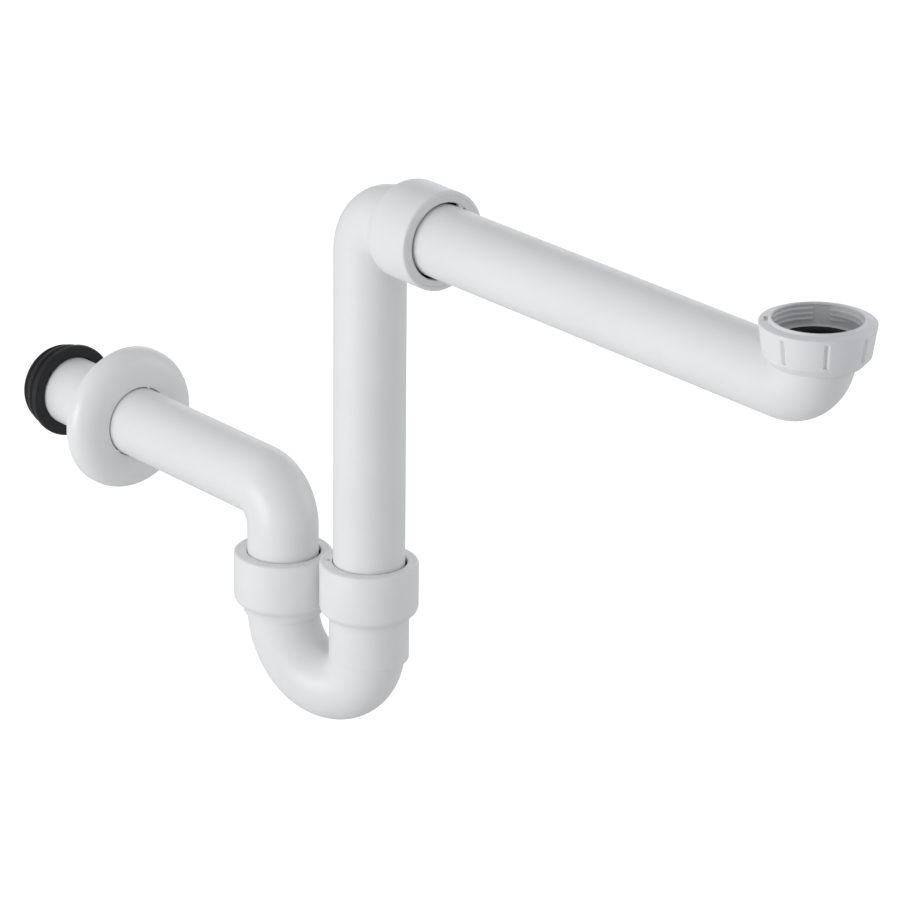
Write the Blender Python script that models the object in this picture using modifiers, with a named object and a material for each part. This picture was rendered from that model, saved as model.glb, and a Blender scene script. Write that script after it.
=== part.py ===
# Space saving sink trap: a push-fit plastic tube trap with a long inlet arm.
# The origin is on the outlet's axis, in the plane of the wall; +Y runs into the wall, +Z is up.

import math

import bmesh
import bpy
from mathutils import Matrix, Vector

MM = 0.001
ROUND_STEPS = 32
BEND_STEPS = 8

# Push-fit waste pipe, 32 mm nominal size
PIPE_R = 17.3 * MM
PIPE_WALL = 2.1 * MM
ELBOW_R = 18.4 * MM

# Clearances between pieces
SOCKET_CLEARANCE = 0.35 * MM
SEAT_CLEARANCE = 0.3 * MM
RING_MOUTH_GAP = 1.2 * MM

# Layout of the axes
WALL_TO_LEG = 172.8 * MM
INLET_HEIGHT = 149.5 * MM
INLET_REACH = 302.0 * MM
LEG_SPACING = 48.7 * MM
TRAP_TURN = math.radians(20.0)
OUTLET_MOUTH_DROP = 31.0 * MM
INLET_MOUTH_RISE = 4.9 * MM

# Moulded push-fit collars
COLLAR_R = 23.9 * MM
COLLAR_LENGTH = 24.2 * MM
COLLAR_CHAMFER = 3.7 * MM
COLLAR_FILLET = 1.3 * MM
SOCKET_WALL = 1.7 * MM

# Lip seal and the retaining ring above it
RING_THICKNESS = 2.8 * MM
RING_SKIRT_WALL = 0.8 * MM
RING_SKIRT_LENGTH = 6.5 * MM
RING_R = 21.6 * MM
SEAL_LENGTH = 8.6 * MM
SEAL_LIP_DEPTH = 1.3 * MM
RING_NOTCH_WIDTH = 1.8 * MM
RING_NOTCH_DEPTH = 0.8 * MM
RING_NOTCH_INSET = 1.6 * MM

# Trap bend
BEND_TUBE_R = 17.4 * MM
BEND_BORE_R = 15.0 * MM
INLET_LEG_LENGTH = 50.0 * MM
INLET_SOCKET_DEPTH = 46.5 * MM
OUTLET_LEG_LENGTH = 31.0 * MM
OUTLET_SOCKET_DEPTH = 29.2 * MM
INLET_SIDE_BEND_REACH = 20.5 * MM
INLET_SIDE_BEND_DROP = 22.5 * MM
OUTLET_SIDE_BEND_DROP = 35.0 * MM

# How far the pipes are pushed into their sockets
OUTLET_PIPE_INSERTION = 25.0 * MM
DOWNPIPE_INSERTION = 41.0 * MM
ARM_INSERTION = 25.0 * MM

# Elbow socket at the top of the downpipe
ELBOW_SOCKET_REACH = 52.7 * MM
ELBOW_SHOULDER_START = 20.7 * MM
ELBOW_SHOULDER_LENGTH = 12.0 * MM
ELBOW_SHOULDER_INSET = 0.7 * MM
ELBOW_BORE_START = 23.5 * MM

# Wall seal and rosette
WALL_SEAL_R = 23.6 * MM
WALL_SEAL_FLANGE = 3.2 * MM
WALL_SEAL_NECK_R = 20.6 * MM
WALL_SEAL_LIP_R = 22.2 * MM
WALL_SEAL_LENGTH = 15.2 * MM
WALL_SEAL_LIP_START = 6.6 * MM
WALL_SEAL_LIP_END = 9.6 * MM
WALL_SEAL_TAIL_R = 19.8 * MM
OUTLET_TAIL = 13.5 * MM
ROSETTE_R = 36.1 * MM
ROSETTE_DEPTH = 11.4 * MM
ROSETTE_WALL = 1.8 * MM
ROSETTE_OFF_WALL = 44.4 * MM
ROSETTE_HUB_LENGTH = 8.5 * MM
ROSETTE_HUB_WALL = 1.9 * MM
ROSETTE_BORE_CLEARANCE = 0.6 * MM

# Union nut, pipe thread of 1 1/4 inch
THREAD_MAJOR_R = 20.955 * MM
THREAD_DEPTH = 1.48 * MM
THREAD_PITCH = 2.309 * MM
THREAD_TURNS = 3
THREAD_ROOT_SINK = 0.25 * MM
THREAD_GAP_WIDTH = 7.0 * MM
THREAD_GAP_ANGLE = math.radians(42.0)
NUT_EDGE = 31.6 * MM
NUT_LIP_RISE = 1.5 * MM
NUT_LIP_OVERHANG = 0.85 * MM
NUT_LIP_LAND = 1.2 * MM
NUT_SIDE_HEIGHT = 18.2 * MM
NUT_EDGE_WALL = 4.6 * MM
NUT_SIDE_WALL = 3.9 * MM
NUT_BOTTOM_WALL = 2.4 * MM
NUT_CHAMFER = 3.7 * MM
NUT_RIM_FILLET = 0.8 * MM
NUT_FLOOR = 3.0 * MM
NUT_STEPS = 48
GRIP_COUNT = 8
GRIP_WIDTH = 1.5 * MM
GRIP_DEPTH = 0.9 * MM
GRIP_BELOW_RIM = 2.2 * MM
GRIP_ANGLE = math.radians(14.0)
NUT_NOTCH_WIDTH = 1.2 * MM
NUT_NOTCH_LENGTH = 2.0 * MM
NUT_NOTCH_DEPTH = 0.9 * MM
NUT_NOTCH_ANGLE = math.radians(132.0)

# Inlet neck under the nut
FLANGE_THICKNESS = 3.0 * MM
GASKET_THICKNESS = 2.5 * MM
NECK_R = 17.0 * MM
NUT_RUNNING_CLEARANCE = 0.4 * MM
NECK_WALL = 2.0 * MM

# Colours of the finishes
WHITE_PLASTIC = (0.80, 0.81, 0.82, 1.0)
BLACK_RUBBER = (0.012, 0.012, 0.013, 1.0)

# Sizes that follow from the ones above
BORE_R = PIPE_R - PIPE_WALL
SOCKET_R = PIPE_R + SOCKET_CLEARANCE
LEG_R = SOCKET_R + SOCKET_WALL
RING_MOUTH_R = PIPE_R + RING_MOUTH_GAP
COUNTERBORE_R = RING_R + SEAT_CLEARANCE
COUNTERBORE_DEPTH = RING_SKIRT_LENGTH + SEAT_CLEARANCE
GROOVE_R = RING_R - RING_SKIRT_WALL
SEAL_TOP = RING_THICKNESS + SEAT_CLEARANCE
GROOVE_DEPTH = SEAL_TOP + SEAL_LENGTH + SEAT_CLEARANCE
SEAL_OUTER_R = GROOVE_R - SEAT_CLEARANCE
SEAL_INNER_R = PIPE_R + SEAT_CLEARANCE
OUTLET_SIDE_BEND_REACH = LEG_SPACING - INLET_SIDE_BEND_REACH
TRAP_BOTTOM = INLET_MOUTH_RISE - INLET_SOCKET_DEPTH - INLET_SIDE_BEND_DROP

OUTLET_MOUTH = Vector((0, -WALL_TO_LEG, -OUTLET_MOUTH_DROP))
TRAP_DIRECTION = Vector((math.sin(TRAP_TURN), -math.cos(TRAP_TURN), 0))
INLET_MOUTH = OUTLET_MOUTH + TRAP_DIRECTION * LEG_SPACING + Vector((0, 0, INLET_MOUTH_RISE))
ELBOW_CORNER = Vector((INLET_MOUTH.x, INLET_MOUTH.y, INLET_HEIGHT))
ELBOW_MOUTH = ELBOW_CORNER - Vector((0, ELBOW_SOCKET_REACH, 0))
NUT_CENTRE = ELBOW_CORNER - Vector((0, INLET_REACH, 0))

THREAD_MINOR_R = THREAD_MAJOR_R - THREAD_DEPTH
NUT_TOP = NUT_EDGE + NUT_LIP_RISE
NUT_BOTTOM = NUT_EDGE - NUT_SIDE_HEIGHT
NUT_HOLE_R = PIPE_R + NUT_RUNNING_CLEARANCE
NUT_EDGE_R = THREAD_MAJOR_R + NUT_EDGE_WALL
NUT_LOW_R = THREAD_MINOR_R + NUT_SIDE_WALL
NUT_BOTTOM_R = NUT_HOLE_R + NUT_BOTTOM_WALL
NUT_LIP_R = THREAD_MAJOR_R - NUT_LIP_OVERHANG
FLANGE_BOTTOM = NUT_BOTTOM + NUT_FLOOR + SEAT_CLEARANCE
FLANGE_TOP = FLANGE_BOTTOM + FLANGE_THICKNESS
FLANGE_R = THREAD_MINOR_R - NUT_RUNNING_CLEARANCE
GASKET_BOTTOM = FLANGE_TOP + SEAT_CLEARANCE
GASKET_TOP = GASKET_BOTTOM + GASKET_THICKNESS
THREAD_BOTTOM = NUT_TOP - NUT_LIP_LAND - (THREAD_TURNS + 1) * THREAD_PITCH
RELIEF_TOP = NUT_BOTTOM - NUT_RUNNING_CLEARANCE
RELIEF_R = NUT_LOW_R + NUT_RUNNING_CLEARANCE

UPRIGHT = (0, 0, 0)
FACING_ROOM = (math.pi / 2, 0, 0)


def clear_scene():
    for old in list(bpy.data.objects):
        bpy.data.objects.remove(old, do_unlink=True)


def collection(name, hidden=False):
    group = bpy.data.collections.new(name)
    bpy.context.scene.collection.children.link(group)
    group.hide_render = hidden
    return group


def finish(name, colour, roughness):
    material = bpy.data.materials.new(name)
    material.use_nodes = True
    shader = material.node_tree.nodes["Principled BSDF"]
    shader.inputs["Base Color"].default_value = colour
    shader.inputs["Roughness"].default_value = roughness
    shader.inputs["Metallic"].default_value = 0.0
    return material


def add_part(name, mesh, location, rotation, colour, roughness):
    part = bpy.data.objects.new(name, mesh)
    part.location = location
    part.rotation_euler = rotation
    mesh.materials.append(finish(name + " finish", colour, roughness))
    for face in mesh.polygons:
        face.use_smooth = True
    PARTS.objects.link(part)
    return part


def add_tool(name, mesh, location=(0, 0, 0), rotation=UPRIGHT):
    tool = bpy.data.objects.new(name, mesh)
    tool.location = location
    tool.rotation_euler = rotation
    tool.hide_render = True
    tool.display_type = "WIRE"
    TOOLS.objects.link(tool)
    return tool


def combine(part, operation, tool):
    step = part.modifiers.new(tool.name, "BOOLEAN")
    step.operation = operation
    step.solver = "EXACT"
    step.object = tool


def outline_mesh(name, points, closed):
    # points are (radius, height) pairs, down the outer side first
    mesh = bpy.data.meshes.new(name)
    count = len(points)
    edges = [(i, i + 1) for i in range(count - 1)]
    if closed:
        edges.append((count - 1, 0))
    mesh.from_pydata([(radius, 0, height) for radius, height in points], edges, [])
    return mesh


def turn(turned, steps=ROUND_STEPS):
    screw = turned.modifiers.new("turned about the axis", "SCREW")
    screw.axis = "Z"
    screw.angle = math.tau
    screw.steps = steps
    screw.render_steps = steps
    screw.use_merge_vertices = True
    screw.merge_threshold = 0.00001
    screw.use_smooth_shade = True


def solid_tool(name, points, location, rotation, steps=ROUND_STEPS):
    # a solid that starts and ends on its axis
    tool = add_tool(name, outline_mesh(name, points, closed=False), location, rotation)
    turn(tool, steps)
    return tool


def ring_tool(name, points, location, rotation, steps=ROUND_STEPS):
    tool = add_tool(name, outline_mesh(name, points, closed=True), location, rotation)
    turn(tool, steps)
    return tool


def ring_part(name, points, location, rotation, colour, roughness, steps=ROUND_STEPS):
    mesh = outline_mesh(name, points, closed=True)
    part = add_part(name, mesh, location, rotation, colour, roughness)
    turn(part, steps)
    return part


def arc(centre, start, end, degrees, steps=BEND_STEPS):
    # points on a quarter or other round stretch; start and end are vectors from the centre
    points = []
    for i in range(steps + 1):
        angle = math.radians(degrees) * i / steps
        points.append(centre + start * math.cos(angle) + end * math.sin(angle))
    return points


def tube_mesh(name, path, radius):
    curve = bpy.data.curves.new(name, "CURVE")
    curve.dimensions = "3D"
    curve.bevel_depth = radius
    curve.bevel_resolution = ROUND_STEPS // 4 - 1
    curve.use_fill_caps = True
    curve.twist_mode = "MINIMUM"
    spline = curve.splines.new("POLY")
    spline.points.add(len(path) - 1)
    for point, place in zip(spline.points, path):
        point.co = (*place, 1)
    wire = bpy.data.objects.new(name, curve)
    TOOLS.objects.link(wire)
    bpy.context.view_layer.update()
    seen = wire.evaluated_get(bpy.context.evaluated_depsgraph_get())
    mesh = bpy.data.meshes.new_from_object(seen)
    bpy.data.objects.remove(wire)
    weld = bmesh.new()
    weld.from_mesh(mesh)
    bmesh.ops.remove_doubles(weld, verts=weld.verts, dist=0.000001)
    bmesh.ops.recalc_face_normals(weld, faces=weld.faces)
    weld.to_mesh(mesh)
    weld.free()
    return mesh


def box_mesh(name, boxes):
    # boxes is a list of (size, matrix) pairs
    shape = bmesh.new()
    for size, matrix in boxes:
        bmesh.ops.create_cube(shape, size=1, matrix=matrix @ Matrix.Diagonal((*size, 1)))
    mesh = bpy.data.meshes.new(name)
    shape.to_mesh(mesh)
    shape.free()
    return mesh


def fillet(corner_r, height, radius, steps=2):
    # points over a rounded outer edge, from the flat top to the side
    points = []
    for i in range(steps + 1):
        angle = math.pi / 2 * i / steps
        points.append((corner_r - radius + radius * math.sin(angle), height - radius + radius * math.cos(angle)))
    return points


def chamfered_collar(length):
    foot = COLLAR_LENGTH + COLLAR_CHAMFER
    points = [(0, 0)] + fillet(COLLAR_R, 0, COLLAR_FILLET)
    points += [(COLLAR_R, -COLLAR_LENGTH), (LEG_R, -foot), (LEG_R, -length), (0, -length)]
    return points


def socket_bore(depth):
    # the space for the retaining ring, the lip seal and the pipe, cut from above the mouth
    above = COLLAR_FILLET
    return [
        (0, above), (COUNTERBORE_R, above), (COUNTERBORE_R, -COUNTERBORE_DEPTH),
        (GROOVE_R, -COUNTERBORE_DEPTH), (GROOVE_R, -GROOVE_DEPTH),
        (SOCKET_R, -GROOVE_DEPTH), (SOCKET_R, -depth), (0, -depth),
    ]


def lip_seal(name, mouth, rotation):
    # a rubber ring with two lips that bear on the pipe
    top = -SEAL_TOP
    bottom = top - SEAL_LENGTH
    lip = SEAL_LENGTH / 8
    hollow = SEAL_INNER_R + SEAL_LIP_DEPTH
    points = [
        (SEAL_OUTER_R, top), (SEAL_OUTER_R, bottom), (SEAL_INNER_R, bottom),
        (SEAL_INNER_R, bottom + 2 * lip), (hollow, bottom + 3 * lip), (hollow, bottom + 4 * lip),
        (SEAL_INNER_R, bottom + 5 * lip), (SEAL_INNER_R, bottom + 6 * lip), (hollow, top),
    ]
    return ring_part(name, points, mouth, rotation, BLACK_RUBBER, 0.55)


def retaining_ring(name, mouth, rotation, notch_angle):
    # a pressed-in ring flush with the collar's face, with one small tool notch
    edge = SEAT_CLEARANCE
    points = [
        (RING_R - edge, 0), (RING_R, -edge), (RING_R, -RING_SKIRT_LENGTH),
        (GROOVE_R, -RING_SKIRT_LENGTH), (GROOVE_R, -RING_THICKNESS), (RING_MOUTH_R, -RING_THICKNESS),
        (RING_MOUTH_R, -edge), (RING_MOUTH_R + edge, 0),
    ]
    ring = ring_part(name, points, mouth, rotation, WHITE_PLASTIC, 0.35)
    size = (RING_NOTCH_WIDTH, RING_NOTCH_WIDTH, 2 * RING_NOTCH_DEPTH)
    place = Matrix.Rotation(notch_angle, 4, "Z") @ Matrix.Translation((RING_MOUTH_R + RING_NOTCH_INSET, 0, 0))
    notch = add_tool(name + " notch", box_mesh(name + " notch", [(size, place)]), mouth, rotation)
    combine(ring, "DIFFERENCE", notch)
    return ring


def make_wall_seal():
    lip = [(WALL_SEAL_LIP_R, -WALL_SEAL_LIP_START), (WALL_SEAL_LIP_R, -WALL_SEAL_LIP_END)]
    inner = PIPE_R + SEAT_CLEARANCE
    points = fillet(WALL_SEAL_R, 0, WALL_SEAL_FLANGE / 4)
    points += [(WALL_SEAL_R, -WALL_SEAL_FLANGE), (WALL_SEAL_NECK_R, -WALL_SEAL_FLANGE)]
    points += [(WALL_SEAL_NECK_R, -WALL_SEAL_LIP_START)] + lip
    points += [(WALL_SEAL_TAIL_R, -WALL_SEAL_LENGTH), (inner, -WALL_SEAL_LENGTH), (inner, 0)]
    ring_part("wall_seal", points, (0, 0, 0), FACING_ROOM, BLACK_RUBBER, 0.6)


def make_rosette():
    # a thin domed cover whose hub is open over the pipe
    front = ROSETTE_OFF_WALL + ROSETTE_DEPTH
    bore = PIPE_R + ROSETTE_BORE_CLEARANCE
    hub = bore + ROSETTE_HUB_WALL
    flat = bore + (ROSETTE_R - bore) * 0.35
    dome = []
    for i in range(7):
        angle = math.pi / 2 * i / 6
        dome.append((math.sin(angle), math.cos(angle)))
    outer = [(flat + (ROSETTE_R - flat) * s, front - (1 - c) * ROSETTE_DEPTH * 0.75) for s, c in dome]
    inner_r = ROSETTE_R - ROSETTE_WALL
    inner_front = front - ROSETTE_WALL
    inner = [(flat + (inner_r - flat) * s, inner_front - (1 - c) * ROSETTE_DEPTH * 0.70) for s, c in dome]
    inner.reverse()
    points = [(bore, front)] + outer + [(ROSETTE_R, ROSETTE_OFF_WALL), (inner_r, ROSETTE_OFF_WALL)]
    points += inner + [(hub, inner_front), (hub, front - ROSETTE_HUB_LENGTH), (bore, front - ROSETTE_HUB_LENGTH)]
    ring_part("wall_rosette", points, (0, 0, 0), FACING_ROOM, WHITE_PLASTIC, 0.35)


def make_outlet_pipe():
    # the origin is on the leg's axis, at the height of the wall outlet
    foot = -OUTLET_MOUTH_DROP - OUTLET_PIPE_INSERTION
    tail = WALL_TO_LEG + OUTLET_TAIL
    centre = Vector((0, ELBOW_R, -ELBOW_R))
    bend = arc(centre, Vector((0, -ELBOW_R, 0)), Vector((0, 0, ELBOW_R)), 90)
    outer = [Vector((0, 0, foot))] + bend + [Vector((0, tail, 0))]
    overshoot = PIPE_WALL
    inner = [Vector((0, 0, foot - overshoot))] + bend + [Vector((0, tail + overshoot, 0))]
    leg = (0, -WALL_TO_LEG, 0)
    pipe = add_part("outlet_pipe", tube_mesh("outlet_pipe", outer, PIPE_R), leg, UPRIGHT, WHITE_PLASTIC, 0.35)
    bore = add_tool("outlet bore", tube_mesh("outlet bore", inner, BORE_R), leg)
    combine(pipe, "DIFFERENCE", bore)


def trap_path(outlet_top, inlet_top):
    # down the outlet leg, round the bottom and up the inlet leg, in the trap's own plane
    outlet_bend = Vector((0, -OUTLET_SIDE_BEND_REACH, TRAP_BOTTOM + OUTLET_SIDE_BEND_DROP))
    inlet_bend = Vector((0, -OUTLET_SIDE_BEND_REACH, TRAP_BOTTOM + INLET_SIDE_BEND_DROP))
    outlet_reach = Vector((0, OUTLET_SIDE_BEND_REACH, 0))
    inlet_reach = Vector((0, -INLET_SIDE_BEND_REACH, 0))
    path = [Vector((0, 0, outlet_top))]
    path += arc(outlet_bend, outlet_reach, Vector((0, 0, -OUTLET_SIDE_BEND_DROP)), 90)
    path += arc(inlet_bend, Vector((0, 0, -INLET_SIDE_BEND_DROP)), inlet_reach, 90)[1:]
    path.append(Vector((0, -LEG_SPACING, inlet_top)))
    return path


def make_trap_bend():
    # the origin is at the outlet collar's mouth, on the axis that the trap turns about
    turned = (0, 0, TRAP_TURN)
    tube_path = trap_path(-COLLAR_LENGTH, INLET_MOUTH_RISE - COLLAR_LENGTH)
    mesh = tube_mesh("trap_bend", tube_path, BEND_TUBE_R)
    trap = add_part("trap_bend", mesh, OUTLET_MOUTH, turned, WHITE_PLASTIC, 0.35)
    outlet_collar = solid_tool("outlet collar", chamfered_collar(OUTLET_LEG_LENGTH), OUTLET_MOUTH, turned)
    inlet_collar = solid_tool("inlet collar", chamfered_collar(INLET_LEG_LENGTH), INLET_MOUTH, turned)
    combine(trap, "UNION", outlet_collar)
    combine(trap, "UNION", inlet_collar)
    overlap = PIPE_WALL
    bore_path = trap_path(overlap - OUTLET_SOCKET_DEPTH, INLET_MOUTH_RISE + overlap - INLET_SOCKET_DEPTH)
    bore = add_tool("trap bore", tube_mesh("trap bore", bore_path, BEND_BORE_R), OUTLET_MOUTH, turned)
    outlet_socket = solid_tool("outlet socket", socket_bore(OUTLET_SOCKET_DEPTH), OUTLET_MOUTH, turned)
    inlet_socket = solid_tool("inlet socket", socket_bore(INLET_SOCKET_DEPTH), INLET_MOUTH, turned)
    combine(trap, "DIFFERENCE", bore)
    combine(trap, "DIFFERENCE", outlet_socket)
    combine(trap, "DIFFERENCE", inlet_socket)


def make_downpipe():
    # the origin is where the pipe's axis meets the inlet arm's axis
    foot = INLET_MOUTH.z - INLET_HEIGHT - DOWNPIPE_INSERTION
    end = -ELBOW_BORE_START
    overshoot = PIPE_WALL
    centre = Vector((0, -ELBOW_R, -ELBOW_R))
    bend = arc(centre, Vector((0, ELBOW_R, 0)), Vector((0, 0, ELBOW_R)), 90)
    outer = [Vector((0, 0, foot))] + bend + [Vector((0, end - overshoot, 0))]
    inner = [Vector((0, 0, foot - overshoot))] + bend + [Vector((0, end - overshoot, 0))]
    mesh = tube_mesh("downpipe", outer, PIPE_R)
    pipe = add_part("downpipe", mesh, ELBOW_CORNER, UPRIGHT, WHITE_PLASTIC, 0.35)
    back = ELBOW_SOCKET_REACH - ELBOW_SHOULDER_START
    neck_r = PIPE_R - ELBOW_SHOULDER_INSET
    rise = COLLAR_R - neck_r
    shoulder = []
    for i in range(5):
        angle = math.pi / 2 * i / 4
        shoulder.append((neck_r + rise * math.cos(angle), -back + ELBOW_SHOULDER_LENGTH * (1 - math.sin(angle))))
    profile = [(0, 0)] + fillet(COLLAR_R, 0, COLLAR_FILLET) + shoulder + [(0, -back)]
    socket_body = solid_tool("elbow socket body", profile, ELBOW_MOUTH, FACING_ROOM)
    combine(pipe, "UNION", socket_body)
    bore = add_tool("downpipe bore", tube_mesh("downpipe bore", inner, BORE_R), ELBOW_CORNER)
    depth = ELBOW_SOCKET_REACH - ELBOW_BORE_START
    socket = solid_tool("elbow socket", socket_bore(depth), ELBOW_MOUTH, FACING_ROOM)
    combine(pipe, "DIFFERENCE", bore)
    combine(pipe, "DIFFERENCE", socket)


def make_inlet_tube():
    # the origin is on the arm's own axis, below the nut; the neck has a relief that the nut turns in
    start = INLET_REACH - ELBOW_SOCKET_REACH + ARM_INSERTION
    overshoot = PIPE_WALL
    neck_end = FLANGE_TOP - SEAT_CLEARANCE
    centre = Vector((0, ELBOW_R, ELBOW_R))
    bend = arc(centre, Vector((0, 0, -ELBOW_R)), Vector((0, -ELBOW_R, 0)), 90)
    outer = [Vector((0, start, 0))] + bend + [Vector((0, 0, neck_end))]
    inner = [Vector((0, start + overshoot, 0))] + bend + [Vector((0, 0, FLANGE_TOP + overshoot))]
    arm = add_part("inlet_tube", tube_mesh("inlet_tube", outer, PIPE_R), NUT_CENTRE, UPRIGHT, WHITE_PLASTIC, 0.35)
    above = NUT_TOP
    relief = [(RELIEF_R, above), (RELIEF_R, RELIEF_TOP), (NECK_R, RELIEF_TOP), (NECK_R, above)]
    combine(arm, "DIFFERENCE", ring_tool("nut relief", relief, NUT_CENTRE, UPRIGHT))
    flange = [(0, FLANGE_TOP), (FLANGE_R, FLANGE_TOP), (FLANGE_R, FLANGE_BOTTOM), (0, FLANGE_BOTTOM)]
    combine(arm, "UNION", solid_tool("neck flange", flange, NUT_CENTRE, UPRIGHT))
    bore = add_tool("arm bore", tube_mesh("arm bore", inner, BORE_R), NUT_CENTRE)
    roof_r = RELIEF_R + NECK_WALL
    roof_height = RELIEF_TOP - NECK_WALL
    neck_bore = BORE_R - 0.1 * PIPE_WALL
    roof = [(roof_r, above), (roof_r, roof_height), (neck_bore, roof_height), (neck_bore, above)]
    combine(bore, "DIFFERENCE", ring_tool("bore roof", roof, NUT_CENTRE, UPRIGHT))
    combine(arm, "DIFFERENCE", bore)


def make_gasket():
    points = [(FLANGE_R, GASKET_TOP), (FLANGE_R, GASKET_BOTTOM), (BORE_R, GASKET_BOTTOM), (BORE_R, GASKET_TOP)]
    ring_part("inlet_gasket", points, NUT_CENTRE, UPRIGHT, BLACK_RUBBER, 0.6, NUT_STEPS)


def thread_ridge():
    # one helical ridge of the internal thread, spun from its own section
    crest = THREAD_PITCH * 0.12
    root = THREAD_PITCH * 0.40
    section = [
        (THREAD_MINOR_R, -crest), (THREAD_MINOR_R, crest),
        (THREAD_MAJOR_R + THREAD_ROOT_SINK, root), (THREAD_MAJOR_R + THREAD_ROOT_SINK, -root),
    ]
    start = THREAD_BOTTOM + root
    shape = bmesh.new()
    corners = [shape.verts.new((radius, 0, start + height)) for radius, height in section]
    face = shape.faces.new(corners)
    steps = THREAD_TURNS * ROUND_STEPS
    rise = THREAD_PITCH / ROUND_STEPS
    bmesh.ops.spin(
        shape, geom=corners + list(face.edges) + [face], cent=(0, 0, 0), axis=(0, 0, 1),
        dvec=(0, 0, rise), angle=math.tau * THREAD_TURNS, steps=steps, use_duplicate=False,
    )
    bmesh.ops.recalc_face_normals(shape, faces=shape.faces)
    mesh = bpy.data.meshes.new("thread ridge")
    shape.to_mesh(mesh)
    shape.free()
    return mesh


def make_union_nut():
    # the top face slopes up inwards to a rounded lip that hangs over the thread
    floor = NUT_BOTTOM + NUT_FLOOR
    lead = THREAD_PITCH / 2
    crown = NUT_LIP_R + NUT_LIP_OVERHANG
    thread_top = NUT_TOP - NUT_LIP_LAND
    rim = fillet(NUT_EDGE_R, NUT_EDGE, NUT_RIM_FILLET)
    points = [(crown, NUT_TOP)] + rim + [
        (NUT_LOW_R, NUT_BOTTOM + NUT_CHAMFER), (NUT_BOTTOM_R, NUT_BOTTOM), (NUT_HOLE_R, NUT_BOTTOM),
        (NUT_HOLE_R, floor), (THREAD_MINOR_R, floor), (THREAD_MINOR_R, THREAD_BOTTOM - lead),
        (THREAD_MAJOR_R, THREAD_BOTTOM), (THREAD_MAJOR_R, thread_top - lead / 2), (NUT_LIP_R, thread_top),
        (NUT_LIP_R, NUT_TOP - NUT_LIP_OVERHANG / 2),
    ]
    nut = ring_part("union_nut", points, NUT_CENTRE, UPRIGHT, WHITE_PLASTIC, 0.35, NUT_STEPS)
    thread = add_tool("thread", thread_ridge(), NUT_CENTRE)
    arms = []
    for quarter in range(2):
        turned = Matrix.Rotation(THREAD_GAP_ANGLE + quarter * math.pi / 2, 4, "Z")
        size = (3 * THREAD_MAJOR_R, THREAD_GAP_WIDTH, 2 * NUT_SIDE_HEIGHT)
        arms.append((size, turned @ Matrix.Translation((0, 0, NUT_TOP))))
    combine(thread, "DIFFERENCE", add_tool("thread gap across", box_mesh("thread gap across", arms[:1]), NUT_CENTRE))
    combine(thread, "DIFFERENCE", add_tool("thread gap along", box_mesh("thread gap along", arms[1:]), NUT_CENTRE))
    combine(nut, "UNION", thread)
    combine(nut, "DIFFERENCE", add_tool("grips", grip_grooves(), NUT_CENTRE))


def grip_grooves():
    # grooves round the tapered side, and one short notch in the top face
    low = NUT_BOTTOM + NUT_CHAMFER
    high = NUT_EDGE - GRIP_BELOW_RIM
    taper = math.atan2(NUT_EDGE_R - NUT_LOW_R, NUT_EDGE - low)
    middle = (low + high) / 2
    side_r = NUT_LOW_R + (NUT_EDGE_R - NUT_LOW_R) * (middle - low) / (NUT_EDGE - low)
    boxes = []
    for i in range(GRIP_COUNT):
        turned = Matrix.Rotation(GRIP_ANGLE + i * math.tau / GRIP_COUNT, 4, "Z")
        place = turned @ Matrix.Translation((side_r, 0, middle)) @ Matrix.Rotation(taper, 4, "Y")
        boxes.append(((2 * GRIP_DEPTH, GRIP_WIDTH, high - low), place))
    turned = Matrix.Rotation(NUT_NOTCH_ANGLE, 4, "Z")
    notch_r = (THREAD_MAJOR_R + NUT_EDGE_R) / 2
    place = turned @ Matrix.Translation((notch_r, 0, (NUT_EDGE + NUT_TOP) / 2))
    boxes.append(((NUT_NOTCH_LENGTH, NUT_NOTCH_WIDTH, 2 * NUT_NOTCH_DEPTH), place))
    return box_mesh("grips", boxes)


clear_scene()
PARTS = collection("space saving sink trap")
TOOLS = collection("cutters", hidden=True)

make_wall_seal()
make_rosette()
make_outlet_pipe()
make_trap_bend()
lip_seal("trap_outlet_seal", OUTLET_MOUTH, UPRIGHT)
lip_seal("trap_inlet_seal", INLET_MOUTH, UPRIGHT)
lip_seal("elbow_seal", ELBOW_MOUTH, FACING_ROOM)
retaining_ring("trap_outlet_ring", OUTLET_MOUTH, UPRIGHT, math.radians(55.0))
retaining_ring("trap_inlet_ring", INLET_MOUTH, UPRIGHT, math.radians(140.0))
retaining_ring("elbow_ring", ELBOW_MOUTH, FACING_ROOM, math.radians(54.0))
make_downpipe()
make_inlet_tube()
make_gasket()
make_union_nut()
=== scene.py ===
import math

import bmesh
import bpy
from mathutils import Matrix, Vector


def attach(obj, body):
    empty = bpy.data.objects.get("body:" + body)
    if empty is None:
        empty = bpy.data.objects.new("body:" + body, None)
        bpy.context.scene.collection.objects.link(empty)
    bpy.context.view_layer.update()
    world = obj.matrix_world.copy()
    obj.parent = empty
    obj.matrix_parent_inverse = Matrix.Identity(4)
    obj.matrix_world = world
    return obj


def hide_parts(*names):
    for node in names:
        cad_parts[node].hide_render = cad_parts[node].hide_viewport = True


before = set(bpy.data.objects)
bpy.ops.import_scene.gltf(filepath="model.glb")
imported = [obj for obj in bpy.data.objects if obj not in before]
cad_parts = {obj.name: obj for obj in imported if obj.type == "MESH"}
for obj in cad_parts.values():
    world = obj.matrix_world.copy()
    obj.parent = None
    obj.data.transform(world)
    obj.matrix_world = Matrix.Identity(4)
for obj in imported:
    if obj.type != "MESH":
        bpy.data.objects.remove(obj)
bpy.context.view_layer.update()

# Sizes are in millimetres, unless they say otherwise; meshes are made in metres.
MM = 0.001
ROUND = 96
COVER_ROUND = 144
NUT_ROUND = 160
BEND_STEPS = 24
EASE_STEPS = 5
DOME_STEPS = 18
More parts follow.
